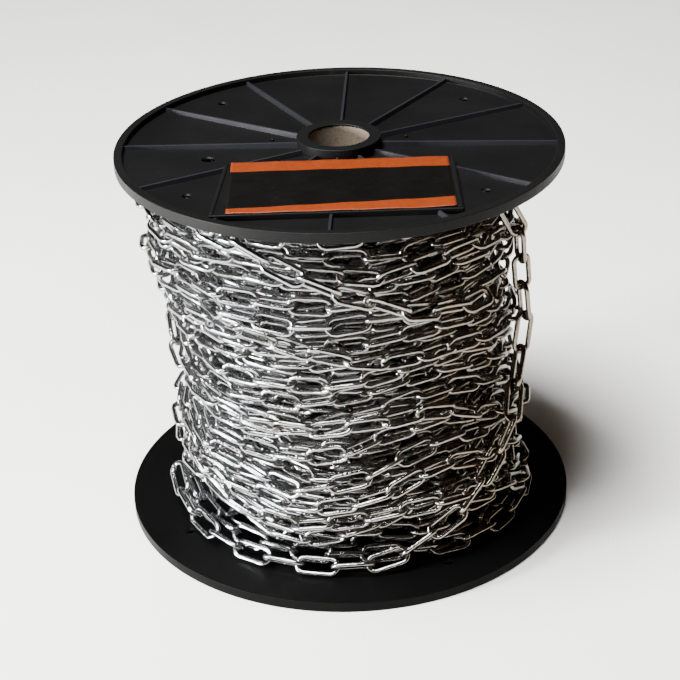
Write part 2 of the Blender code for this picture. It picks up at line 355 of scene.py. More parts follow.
@dataclass(frozen=True)
class KraftBoard:
    """Spiral-wound paper tube: matt grey-brown board with the plies' slanted seams and paper fibre.

    The fibre is drawn coarser than it is, so that it shows.
    """

    name: str
    colour: str = "#7b7062"
    shade: str = "#5f5549"
    seam_colour: str = "#3b342b"
    ply_width: float = 55 * MM
    seam_share: float = 0.03
    seam_depth: float = 0.4 * MM
    fibre: Blotches = Blotches(size=1.5 * MM, detail=5.0)
    fibre_depth: float = 0.08 * MM
    roughness: float = 0.85
    specular: float = 0.25

    def build(self) -> bpy.types.Material:
        """Makes the material, with one seam for each ply's width up the tube, and fibre over all.

        Returns:
            The material.
        """
        material, tree, shader, place = new_material(self.name)
        round_tube = add_node(tree, "ShaderNodeTexGradient", {"gradient_type": "RADIAL"}, {"Vector": place})
        height = add_node(tree, "ShaderNodeSeparateXYZ", {}, {0: place}).outputs["Z"]
        rise = add_node(tree, "ShaderNodeMath", {"operation": "DIVIDE", 1: self.ply_width}, {0: height})
        feeds = {0: rise.outputs[0], 1: round_tube.outputs["Fac"]}
        spiral = add_node(tree, "ShaderNodeMath", {"operation": "ADD"}, feeds)
        turn = add_node(tree, "ShaderNodeMath", {"operation": "FRACT"}, {0: spiral.outputs[0]}).outputs[0]
        edge = {"From Min": 0.0, "From Max": self.seam_share}
        seam = add_node(tree, "ShaderNodeMapRange", edge, {"Value": turn}).outputs["Result"]
        fibre = self.fibre.add(tree, place)
        tones = {"data_type": "RGBA", Mix.FIRST: linear(self.shade), Mix.SECOND: linear(self.colour)}
        paper = add_node(tree, "ShaderNodeMix", tones, {Mix.SHARE: fibre}).outputs[Mix.RESULT]
        seam_tone = {"data_type": "RGBA", Mix.FIRST: linear(self.seam_colour)}
        colour = add_node(tree, "ShaderNodeMix", seam_tone, {Mix.SHARE: seam, Mix.SECOND: paper})
        fine = {"Strength": 1.0, "Distance": self.fibre_depth}
        nap = add_node(tree, "ShaderNodeBump", fine, {"Height": fibre}).outputs["Normal"]
        step = {"Strength": 1.0, "Distance": self.seam_depth}
        relief = add_node(tree, "ShaderNodeBump", step, {"Height": seam, "Normal": nap})
        sources = {"Base Color": colour.outputs[Mix.RESULT], "Normal": relief.outputs["Normal"]}
        feed(tree, shader, {"Roughness": self.roughness, "Specular IOR Level": self.specular}, sources)
        return material


@dataclass(frozen=True)
class PrintedFilm:
    """Printed polypropylene label: a black field with two orange stripes under a satin film."""

    name: str
    near: float
    far: float
    near_stripe: float = 16 * MM
    slant: float = 0.06
    far_stripe: float = 23 * MM
    field_colours: tuple[str, str] = ("#040302", "#060504")
    stripe_colours: tuple[str, str] = ("#6d2a0d", "#60250a")
    rub_colour: str = "#5d5852"
    rub_share: float = 0.1
    mottle: Blotches = Blotches(size=5 * MM, detail=4.0)
    rub: Blotches = Blotches(size=2.5 * MM, detail=5.0, low=0.66, high=0.8)
    smear: Blotches = Blotches(size=22 * MM, detail=3.0, low=0.35, high=0.7)
    ripple: Blotches = Blotches(size=30 * MM, detail=2.0)
    ripple_depth: float = 0.15 * MM
    shine: tuple[float, float] = (0.36, 0.42)
    specular: float = 0.15

    def stripes(self, tree: bpy.types.NodeTree, place: bpy.types.NodeSocket) -> bpy.types.NodeSocket:
        """Where the two stripes are, by the distance from the near and far edges.

        Args:
            tree: The material's tree.
            place: Coordinates in metres.

        Returns:
            One on a stripe and nought on the field.
        """
        parts = add_node(tree, "ShaderNodeSeparateXYZ", {}, {0: place})
        depth = parts.outputs["Y"]
        tilt = {"operation": "MULTIPLY", 1: self.slant}
        rise = add_node(tree, "ShaderNodeMath", tilt, {0: parts.outputs["X"]}).outputs[0]
        level = add_node(tree, "ShaderNodeMath", {"operation": "SUBTRACT"}, {0: depth, 1: rise}).outputs[0]
        near_edge = {"operation": "LESS_THAN", 1: self.near + self.near_stripe}
        near = add_node(tree, "ShaderNodeMath", near_edge, {0: level}).outputs[0]
        far_edge = {"operation": "GREATER_THAN", 1: self.far - self.far_stripe}
        far = add_node(tree, "ShaderNodeMath", far_edge, {0: depth}).outputs[0]
        return add_node(tree, "ShaderNodeMath", {"operation": "MAXIMUM"}, {0: near, 1: far}).outputs[0]

    def build(self) -> bpy.types.Material:
        """Makes the material, with ink mottle, rubbed spots and a film that isn't quite flat.

        Returns:
            The material.
        """
        material, tree, shader, place = new_material(self.name)
        mottle = self.mottle.add(tree, place)
        inks = []
        for first, second in (self.field_colours, self.stripe_colours):
            tones = {"data_type": "RGBA", Mix.FIRST: linear(first), Mix.SECOND: linear(second)}
            ink = add_node(tree, "ShaderNodeMix", tones, {Mix.SHARE: mottle})
            inks.append(ink.outputs[Mix.RESULT])
        feeds = {Mix.SHARE: self.stripes(tree, place), Mix.FIRST: inks[0], Mix.SECOND: inks[1]}
        printed = add_node(tree, "ShaderNodeMix", {"data_type": "RGBA"}, feeds).outputs[Mix.RESULT]
        rub = self.rub.add(tree, place)
        rubbed = add_node(tree, "ShaderNodeMapRange", {"To Max": self.rub_share}, {"Value": rub})
        bare = {"data_type": "RGBA", Mix.SECOND: linear(self.rub_colour)}
        feeds = {Mix.SHARE: rubbed.outputs["Result"], Mix.FIRST: printed}
        colour = add_node(tree, "ShaderNodeMix", bare, feeds)
        smear = self.smear.add(tree, place)
        gloss = {"To Min": self.shine[0], "To Max": self.shine[1]}
        roughness = add_node(tree, "ShaderNodeMapRange", gloss, {"Value": smear})
        ripple = self.ripple.add(tree, place)
        depth = {"Strength": 1.0, "Distance": self.ripple_depth}
        relief = add_node(tree, "ShaderNodeBump", depth, {"Height": ripple})
        sources = {
            "Base Color": colour.outputs[Mix.RESULT],
            "Roughness": roughness.outputs["Result"],
            "Normal": relief.outputs["Normal"],
        }
        feed(tree, shader, {"IOR": POLYPROPYLENE_IOR, "Specular IOR Level": self.specular}, sources)
        return material


@dataclass(frozen=True)
class PaperSweep:
    """Matt white studio paper, the floor under the reel."""

    name: str = "studio_paper"
    colour: str = "#f8f7f4"
    shade: str = "#f1f0ec"
    cloud: Blotches = Blotches(size=400 * MM, detail=2.0)
    roughness: float = 0.9
    specular: float = 0.1

    def build(self) -> bpy.types.Material:
        """Makes the material, pale paper with faint clouds.

        Returns:
            The material.
        """
        material, tree, shader, place = new_material(self.name)
        cloud = self.cloud.add(tree, place)
        tones = {"data_type": "RGBA", Mix.FIRST: linear(self.colour), Mix.SECOND: linear(self.shade)}
        paper = add_node(tree, "ShaderNodeMix", tones, {Mix.SHARE: cloud}).outputs[Mix.RESULT]
        numbers = {"Roughness": self.roughness, "Specular IOR Level": self.specular}
        feed(tree, shader, numbers, {"Base Color": paper})
        return material


def finish_mesh(name: str, builder: bmesh.types.BMesh, material: bpy.types.Material) -> bpy.types.Object:
    """Makes an object at the origin of a bmesh, with smooth faces.

    Args:
        name: The object's name.
        builder: The finished bmesh, which is freed.
        material: Its finish.

    Returns:
        The object, linked to the scene.
    """
    mesh = bpy.data.meshes.new(name)
    for face in builder.faces:
        face.smooth = True
    builder.to_mesh(mesh)
    builder.free()
    mesh.materials.append(material)
    obj = bpy.data.objects.new(name, mesh)
    bpy.context.scene.collection.objects.link(obj)
    return obj


def hand_in(obj: bpy.types.Object, nodes: Iterable[str]) -> None:
    """Makes a piece ride on the reel in place of CAD nodes, and reports it.

    Args:
        obj: The finished piece.
        nodes: Names of the CAD nodes that it stands for.
    """
    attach(obj, "root")
    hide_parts(*nodes)
    LOG.info("%s: %d faces, finish %s", obj.name, len(obj.data.polygons), obj.data.materials[0].name)


def weigh_normals(obj: bpy.types.Object) -> None:
    """Keeps flat faces flat beside their rounded edges."""
    obj.modifiers.new("weighted_normals", "WEIGHTED_NORMAL").keep_sharp = True


def cut_away(obj: bpy.types.Object, cutters: bmesh.types.BMesh) -> None:
    """Cuts an object's mesh and leaves only the result.

    Args:
        obj: The object.
        cutters: A bmesh of closed shells to take away from it, which is freed.
    """
    tool = finish_mesh("cutters", cutters, obj.data.materials[0])
    cut = obj.modifiers.new("cut", "BOOLEAN")
    cut.object = tool
    cut.solver = "EXACT"
    cut.use_self = False
    graph = bpy.context.evaluated_depsgraph_get()
    mesh = bpy.data.meshes.new_from_object(obj.evaluated_get(graph))
    obj.modifiers.remove(cut)
    obj.data = mesh
    mesh.name = obj.name
    bpy.data.objects.remove(tool, do_unlink=True)


def spun_section(corners: Profile, fillet: float, steps: int) -> bmesh.types.BMesh:
    """A closed section of (radius, height) corners, rounded and spun once round the reel's axis.

    Args:
        corners: The section's corners in order.
        fillet: Radius of its rounded corners.
        steps: Steps in the full turn.

    Returns:
        A closed shell.
    """
    builder = bmesh.new()
    section = builder.faces.new([builder.verts.new((radius, 0, height)) for radius, height in corners])
    bmesh.ops.bevel(
        builder,
        geom=list(section.verts),
        offset=fillet,
        segments=3,
        profile=0.5,
        affect="VERTICES",
        material=-1,
    )
    outline = list(builder.edges)
    bmesh.ops.delete(builder, geom=list(builder.faces), context="FACES_ONLY")
    bmesh.ops.spin(
        builder, geom=outline, cent=(0, 0, 0), axis=(0, 0, 1), angle=math.tau, steps=steps, use_merge=True
    )
    bmesh.ops.remove_doubles(builder, verts=builder.verts, dist=MERGE_DISTANCE)
    bmesh.ops.recalc_face_normals(builder, faces=builder.faces)
    return builder


def add_block(
    builder: bmesh.types.BMesh, size: Sequence[float], centre: Sequence[float], edge: float
) -> list[bmesh.types.BMVert]:
    """Adds a block with rounded edges.

    Args:
        builder: The bmesh it joins.
        size: Its size along X, Y and Z.
        centre: Its centre.
        edge: Radius of its edges.

    Returns:
        Its vertices.
    """
    before = set(builder.verts)
    cube = bmesh.ops.create_cube(builder, size=1)["verts"]
    bmesh.ops.scale(builder, vec=size, verts=cube)
    edges = list({near for vert in cube for near in vert.link_edges})
    bmesh.ops.bevel(
        builder, geom=edges, offset=edge, segments=2, profile=0.5, affect="EDGES", material=-1
    )
    made = [vert for vert in builder.verts if vert not in before]
    bmesh.ops.translate(builder, vec=centre, verts=made)
    return made


@dataclass
class Flange:
    """One moulded flange: rim, web, hub ring, ribs and holes, and on the upper one the label's pad."""

    name: str
    box: Box
    face: Face
    turn: float
    hub_rise: float
    has_pad: bool
    rim_height: float = 10 * MM
    rim_width: float = 8 * MM
    web: float = 4 * MM
    bore_radius: float = 29 * MM
    socket_radius: float = 37.8 * MM
    hub_radius: float = 40.5 * MM
    hub_lip: float = 2 * MM
    fillet: float = 0.8 * MM
    rib_count: int = 12
    rib_foot: float = 4.6 * MM
    rib_taper: float = 0.5
    rib_drop: float = 0.8 * MM
    rib_run_out: float = 16 * MM
    run_out_share: float = 0.3
    bolt_hole_angles: tuple[float, ...] = tuple(math.radians(degrees) for degrees in (46, 135, 221, 321))
    bolt_hole_radius: float = 5 * MM
    bolt_hole_inset: float = 39 * MM
    cutter_length: float = 80 * MM
    hole_sides: int = 32
    chain_hole_radius: float = 6.8 * MM
    chain_hole_reach: float = 126 * MM
    chain_hole_angle: float = math.radians(193)
    pad_half_width: float = 107 * MM
    pad_near: float = -168.5 * MM
    pad_far: float = -50 * MM
    pad_flare: float = 9 * MM
    pad_drop: float = 0.4 * MM
    lip_width: float = 2.5 * MM
    lip_height: float = 1.2 * MM
    lip_inset: float = 2 * MM
    gate_reach: float = 68 * MM
    gate_angles: tuple[float, ...] = (math.radians(17), math.radians(161))
    gate_foot: float = 2.2 * MM
    gate_tip: float = 1.3 * MM
    gate_length: float = 2.4 * MM
    gate_rise: float = 1 * MM
    gate_sides: int = 16
    steps: int = 180

    @property
    def radius(self) -> float:
        """Radius over the rim, from the CAD box."""
        return (self.box[1].x - self.box[0].x) / 2

    def section(self) -> Profile:
        """Corners of the flange's section, its inner face at height 0 and its outer face up.

        Returns:
            Radius and height of each corner in order.
        """
        hub_top = self.rim_height + self.hub_rise
        return (
            (self.radius, self.rim_height),
            (self.radius, 0.0),
            (self.socket_radius, 0.0),
            (self.socket_radius, hub_top - self.hub_lip),
            (self.bore_radius, hub_top - self.hub_lip),
            (self.bore_radius, hub_top),
            (self.hub_radius, hub_top),
            (self.hub_radius, self.web),
            (self.radius - self.rim_width, self.web),
            (self.radius - self.rim_width, self.rim_height),
        )

    def add_ribs(self, builder: bmesh.types.BMesh) -> None:
        """Adds the radial ribs, with the mould's draft on their sides, each running out low at the rim.

        Args:
            builder: The flange's bmesh.
        """
        start = self.hub_radius - self.fillet
        end = self.radius - self.rim_width / 2
        foot = self.web / 2
        top = self.rim_height - self.rib_drop
        size = (end - start, self.rib_foot, top - foot)
        centre = ((start + end) / 2, 0, (foot + top) / 2)
        for index in range(self.rib_count):
            rib = add_block(builder, size, centre, self.fillet / 2)
            upper = [vert for vert in rib if vert.co.z > centre[2]]
            for vert in upper:
                vert.co.y *= self.rib_taper
                if vert.co.x > end - self.rib_run_out / 2:
                    vert.co.z -= (top - self.web) * self.run_out_share
            angle = self.turn + index * math.tau / self.rib_count
            bmesh.ops.rotate(builder, verts=rib, matrix=Matrix.Rotation(angle, 3, "Z"))
            # The ribs have the rib plastic, glossier and painted lighter as a sheen, which is the moulding's
            # second material
            for face in {face for vert in rib for face in vert.link_faces}:
                face.material_index = 1

    def add_pad(self, builder: bmesh.types.BMesh) -> None:
        """Adds the label's pad with its two side lips, its left side flared towards the rim.

        Args:
            builder: The flange's bmesh.
        """
        foot = self.web / 3
        top = self.rim_height - self.pad_drop
        depth = self.pad_far - self.pad_near
        middle = (self.pad_far + self.pad_near) / 2
        size = (2 * self.pad_half_width, depth, top - foot)
        made = add_block(builder, size, (0, middle, (foot + top) / 2), self.fillet)
        for side in (-1, 1):
            centre = (side * (self.pad_half_width - self.lip_width), middle, top)
            size = (self.lip_width, depth - 2 * self.lip_inset, 2 * self.lip_height)
            made += add_block(builder, size, centre, self.fillet / 2)
        for vert in made:
            if vert.co.x < 0:
                vert.co.x -= self.pad_flare * (self.pad_far - vert.co.y) / depth

    def add_gates(self, builder: bmesh.types.BMesh) -> None:
        """Adds the small stumps that the mould's gates leave on the web.

        Args:
            builder: The flange's bmesh.
        """
        for angle in self.gate_angles:
            made = bmesh.ops.create_cone(
                builder,
                cap_ends=True,
                segments=self.gate_sides,
                radius1=self.gate_foot,
                radius2=self.gate_tip,
                depth=self.gate_length,
            )["verts"]
            place = polar(self.gate_reach, angle, self.web + self.gate_rise)
            bmesh.ops.translate(builder, vec=place, verts=made)

    def hole_cutters(self) -> bmesh.types.BMesh:
        """Upright pins for the bolt holes and the hole that takes the chain's inner end.

        Returns:
            A bmesh of closed pins.
        """
        builder = bmesh.new()
        reach = self.radius - self.bolt_hole_inset
        holes = [(reach, self.turn + angle, self.bolt_hole_radius) for angle in self.bolt_hole_angles]
        holes.append((self.chain_hole_reach, self.turn + self.chain_hole_angle, self.chain_hole_radius))
        for distance, angle, radius in holes:
            pin = bmesh.ops.create_cone(
                builder,
                cap_ends=True,
                segments=self.hole_sides,
                radius1=radius,
                radius2=radius,
                depth=self.cutter_length,
            )["verts"]
            bmesh.ops.translate(builder, vec=polar(distance, angle, 0), verts=pin)
        return builder

    def build(self, material: bpy.types.Material, rubbed: bpy.types.Material) -> None:
        """Builds the flange in place of its CAD node.

        Args:
            material: The moulded plastic.
            rubbed: The same plastic on the ribs, glossier and painted lighter, a painted sheen.
        """
        body = finish_mesh("body", spun_section(self.section(), self.fillet, self.steps), material)
        cut_away(body, self.hole_cutters())
        builder = bmesh.new()
        builder.from_mesh(body.data)
        bpy.data.objects.remove(body, do_unlink=True)
        self.add_ribs(builder)
        if self.has_pad:
            self.add_pad(builder)
        self.add_gates(builder)
        obj = finish_mesh(f"{self.name}_moulding", builder, material)
        obj.data.materials.append(rubbed)
        if self.face is Face.UP:
            place = Matrix.Translation((0, 0, self.box[0].z))
        else:
            place = Matrix.Translation((0, 0, self.box[1].z)) @ Matrix.Rotation(math.pi, 4, "X")
        obj.data.transform(place)
        weigh_normals(obj)
        hand_in(obj, [self.name])


@dataclass
class CoreTube:
    """The board tube between the flanges."""

    box: Box
    wall: float = 8 * MM
    fillet: float = 0.6 * MM
    steps: int = 96

    def build(self, material: bpy.types.Material) -> None:
        """Builds the tube in place of its CAD node.

        Args:
            material: The board.
        """
        low, high = self.box
        outer = (high.x - low.x) / 2
        corners = ((outer, high.z), (outer, low.z), (outer - self.wall, low.z), (outer - self.wall, high.z))
        obj = finish_mesh("core_tube_board", spun_section(corners, self.fillet, self.steps), material)
        weigh_normals(obj)
        hand_in(obj, ["core_tube"])


@dataclass
class Label:
    """The printed label, glued to the pad, with slack ripples and one corner a little proud."""

    box: Box
    thickness: float = 0.25 * MM
    ripple: float = 0.35 * MM
    ripple_length: float = 46 * MM
    ripple_slant: float = 2.0
    lift: float = 1.2 * MM
    lift_reach: float = 34 * MM
    lift_narrowing: float = 0.9
    columns: int = 84
    rows: int = 48

    def height(self, across: float, along: float) -> float:
        """Height of the film above the pad at a place on it.

        Args:
            across: Distance from the right edge.
            along: Distance from the near edge.

        Returns:
            Height in metres.
        """
        turned = along / self.ripple_length * self.ripple_slant
        wave = math.sin(across / self.ripple_length * math.tau + turned)
        corner = max(0.0, 1 - math.hypot(across, along * self.lift_narrowing) / self.lift_reach)
        return self.ripple * (1 + wave) / 2 + self.lift * corner**2

    def build(self, material: bpy.types.Material) -> None:
        """Builds the label in place of its CAD node.

        Args:
            material: The printed film.
        """
        low, high = self.box
        builder = bmesh.new()
        bmesh.ops.create_grid(builder, x_segments=self.columns, y_segments=self.rows, size=0.5)
        bmesh.ops.scale(builder, vec=(high.x - low.x, high.y - low.y, 1), verts=builder.verts)
        centre = ((low.x + high.x) / 2, (low.y + high.y) / 2, low.z)
        bmesh.ops.translate(builder, vec=centre, verts=builder.verts)
        for vert in builder.verts:
            vert.co.z += self.height(high.x - vert.co.x, vert.co.y - low.y)
        obj = finish_mesh("label_film", builder, material)
        solid = obj.modifiers.new("film_thickness", "SOLIDIFY")
        solid.thickness = self.thickness
        solid.offset = 1.0
        hand_in(obj, ["label"])


@dataclass(frozen=True)
class LinkShape:
    """One welded link of round wire."""

    wire: float = 5 * MM
    inner_length: float = 35 * MM
    width: float = 20 * MM
    play: float = 0.1 * MM
    wire_sides: int = 6
    end_steps: int = 5

    @property
    def end_radius(self) -> float:
        """Radius of the wire's middle line round an end."""
        return (self.width - self.wire) / 2

    @property
    def reach(self) -> float:
        """From the link's middle to the centre of an end's bend."""
        return self.inner_length / 2 + self.wire / 2 - self.end_radius

    @property
    def pitch(self) -> float:
        """From one link's middle to the next on a taut chain."""
        return self.inner_length - self.play

    def mesh(self) -> bpy.types.Mesh:
        """A link lying in the XY plane, long side along X: two bent ends joined by straight sides.

        Returns:
            A mesh with an attribute for the link's tone.
        """
        builder = bmesh.new()
        ring = bmesh.ops.create_circle(builder, segments=self.wire_sides, radius=self.wire / 2)["verts"]
        bmesh.ops.rotate(builder, verts=ring, matrix=Matrix.Rotation(math.pi / 2, 3, "Y"))
        bmesh.ops.translate(builder, verts=ring, vec=(self.reach, -self.end_radius, 0))
        bmesh.ops.spin(
            builder,
            geom=list(builder.edges),
            cent=(self.reach, 0, 0),
            axis=(0, 0, 1),
            angle=math.pi,
            steps=self.end_steps,
        )
        end = [*builder.verts, *builder.edges, *builder.faces]
        copy = bmesh.ops.duplicate(builder, geom=end)["geom"]
        turned = [piece for piece in copy if isinstance(piece, bmesh.types.BMVert)]
        bmesh.ops.rotate(builder, verts=turned, matrix=Matrix.Rotation(math.pi, 3, "Z"))
        for side in (-1, 1):
            rims = [edge for edge in builder.edges if edge.is_boundary and side * edge.verts[0].co.y > 0]
            bmesh.ops.bridge_loops(builder, edges=rims)
        bmesh.ops.recalc_face_normals(builder, faces=builder.faces)
        for face in builder.faces:
            face.smooth = True
        mesh = bpy.data.meshes.new("link")
        builder.to_mesh(mesh)
        builder.free()
        mesh.attributes.new("link_tone", "FLOAT", "POINT")
        return mesh

    def middle_line(self, spacing: float) -> list[Place]:
        """Points of the wire's middle line.

        Args:
            spacing: About how far apart they are.

        Returns:
            Each point's place along and across the link.
        """
        straight = max(1, round(2 * self.reach / spacing))
        bend = max(2, round(math.pi * self.end_radius / spacing))
        points = []
        for side in (1, -1):
            for step in range(straight):
                along = 2 * self.reach * step / straight - self.reach
                points.append((side * along, -side * self.end_radius))
            for step in range(bend):
                angle = -math.pi / 2 + math.pi * step / bend
                along = self.reach + self.end_radius * math.cos(angle)
                points.append((side * along, side * self.end_radius * math.sin(angle)))
        return points


@dataclass(frozen=True)
class Joint:
    """Where one link bears on the next, as angle round the reel, height and radius."""

    angle: float
    height: float
    radius: float

    def place(self) -> Vector:
        """World position."""
        return polar(self.radius, self.angle, self.height)


@dataclass(frozen=True)
class LaidLink:
    """A link between two joints, rolled about the chain's line."""

    start: Joint
    end: Joint
    roll: float
    tone: float

    def matrix(self) -> Matrix:
        """Where the link's mesh goes.

        Returns:
            Its placement in the world.
        """
        start, end = self.start.place(), self.end.place()
        centre = (start + end) / 2
        along = (end - start).normalized()
        outward = Vector((centre.x, centre.y, 0)).normalized()
        across = outward.cross(along).normalized()
        outward = along.cross(across)
        width = across * math.cos(self.roll) + outward * math.sin(self.roll)
        turned = Matrix((along, width, along.cross(width))).transposed()
        return Matrix.Translation(centre) @ turned.to_4x4()


@dataclass
class SurfaceMap:
    """How far out the middle of the next wire can lie, over the angle round the reel and the height."""

    low: float
    high: float
    wire: float
    base: Callable[[float, float], float]
    cell: float = 2 * MM
    mean_radius: float = 172 * MM
    columns: int = field(init=False)
    rows: int = field(init=False)
    reach: list[list[float]] = field(init=False)

    def __post_init__(self) -> None:
        """Fills the map with the core's surface."""
        self.columns = round(math.tau * self.mean_radius / self.cell)
        self.rows = round((self.high - self.low) / self.cell) + 1
        self.reach = [
            [
                self.base(column / self.columns * math.tau, self.low + row * self.cell) + self.wire / 2
                for row in range(self.rows)
            ]
            for column in range(self.columns)
        ]

    def at(self, angle: float, height: float) -> float:
        """Least radius for a wire's middle, the largest of the four cells round a place.

        Args:
            angle: Angle round the reel.
            height: Height above the floor.

        Returns:
            The radius.
        """
        column = math.floor(angle / math.tau * self.columns) % self.columns
        beside = (column + 1) % self.columns
        row = min(max(math.floor((height - self.low) / self.cell), 0), self.rows - 2)
        first, second = self.reach[column], self.reach[beside]
        return max(first[row], first[row + 1], second[row], second[row + 1])

    def stamp(self, place: Vector) -> None:
        """Adds a point of a laid wire's middle line to the map.

        Args:
            place: The point in the world.
        """
        radius = math.hypot(place.x, place.y)
        angle = math.atan2(place.y, place.x)
        span = math.ceil(self.wire / self.cell)
        column = round(angle / math.tau * self.columns)
        row = round((place.z - self.low) / self.cell)
        scale = math.tau / self.columns * radius
        for near_column in range(column - span, column + span + 1):
            sideways = near_column * scale - angle * radius
            cells = self.reach[near_column % self.columns]
            for near_row in range(max(0, row - span), min(self.rows, row + span + 1)):
                away = sideways**2 + (self.low + near_row * self.cell - place.z) ** 2
                if away < self.wire**2:
                    cells[near_row] = max(cells[near_row], radius + math.sqrt(self.wire**2 - away))


def eased(table: Profile, at: float) -> float:
    """A value between the points of a table, eased at each of them.

    Args:
        table: Places in rising order, each with its value.
        at: The place asked for.

    Returns:
        The value there.
    """
    if at <= table[0][0]:
        return table[0][1]
    for (low, first), (high, second) in zip(table, table[1:]):
        if at <= high:
            part = (at - low) / (high - low)
            return first + (second - first) * part * part * (3 - 2 * part)
    return table[-1][1]


# Routes give the angle in degrees, the height and the radius in mm of the line of a strand's links.
# The last turn's is the one in the part's source.
LAST_TURN_ROUTE: Route = (
    (-31, 352, 176), (-27, 332, 180), (-24, 302, 182), (-21, 272, 182), (-18.5, 236, 182),
    (-19.5, 200, 182), (-24, 168, 182), (-30.5, 138, 182), (-38, 113, 181), (-46, 88, 180),
    (-54.5, 64, 180), (-64, 43, 180), (-74.5, 26, 180), (-86, 19, 180), (-98, 18.4, 180),
    (-110, 18.4, 180), (-122, 18.4, 180), (-134, 19.5, 180), (-146, 24, 180), (-160, 33, 180),
    (-172, 45, 180),
)
# Crosses the front from the upper left, down to beside the last turn
CROSSING_ROUTE: Route = (
    (-142, 364, 172), (-132, 363, 172), (-124, 358, 172), (-115, 346, 172), (-106, 335, 172),
    (-95.5, 320, 172), (-85, 307, 172), (-75, 291, 172), (-62, 280, 172), (-48, 274, 172),
    (-36, 271, 170),
)
# Lies on the lower flange, at the front between the winding and the last turn
FOOT_ROUTE: Route = (
    (-8, 24, 184), (-20, 20, 184), (-32, 19, 183), (-44, 19, 181), (-54, 19, 177), (-64, 19.5, 170),
    (-74, 20, 164), (-86, 20, 162.5), (-98, 20, 162.5), (-110, 20, 162.5), (-122, 20, 162.5),
    (-134, 20.5, 162.5), (-146, 22, 163), (-158, 26, 164), (-170, 34, 166), (-182, 44, 168),
)


def smooth_route(route: Route, steps: int = 24) -> list[Joint]:
    """Close points on a smooth curve through (degrees, mm, mm) points.

    Args:
        route: Angle, height and radius of the points.
        steps: Steps between two of them.

    Returns:
        The curve's points.
    """
    points = [Vector((math.radians(angle), height * MM, radius * MM)) for angle, height, radius in route]
    padded = [2 * points[0] - points[1], *points, 2 * points[-1] - points[-2]]
    curve = []
    for before, first, second, after in zip(padded, padded[1:], padded[2:], padded[3:]):
        for step in range(steps):
            part = step / steps
            point = 0.5 * (
                2 * first
                + (second - before) * part
                + (2 * before - 5 * first + 4 * second - after) * part**2
                + (3 * first - before - 3 * second + after) * part**3
            )
            curve.append(Joint(*point))
    return curve + [Joint(*points[-1])]


@dataclass(frozen=True)
class Pass:
    """One pass of the chain up or down the reel.

    Attributes:
        name: The piece's name.
        upward: Whether it climbs.
        turn_pitch: How far it climbs or drops in a turn.
        wobble: How far its line waves up and down.
        waves: Waves in a turn.
        drift: Stretches the waves a little, so that they don't lie over each other turn by turn.
        keeps_clear: Whether it stays above the last turn's run on the lower flange.
    """

    name: str
    upward: bool
    turn_pitch: float
    wobble: float
    waves: int
    drift: float
    keeps_clear: bool = False


@dataclass
class Head:
    """How far the laying has come, and how the chain lies there.

    Attributes:
        angle: Angle round the reel, which goes on growing from turn to turn.
        radius: Radius of the last joint.
        side: How far the chain lies from its pass's line.
        roll: Roll of the links, but for the quarter turn of every second one.
        count: How many links are laid.
        travelled: Angle gone round in this pass.
    """

    angle: float
    radius: float
    side: float
    roll: float
    count: int = 0
    travelled: float = 0.0


@dataclass(frozen=True)
class Way:
    """One way on for the next links: what it costs, its aim, its joints' places, rolls and radii."""

    cost: float
    side: float
    roll: float
    track: list[Place]
    rolls: list[float]
    radii: list[float]


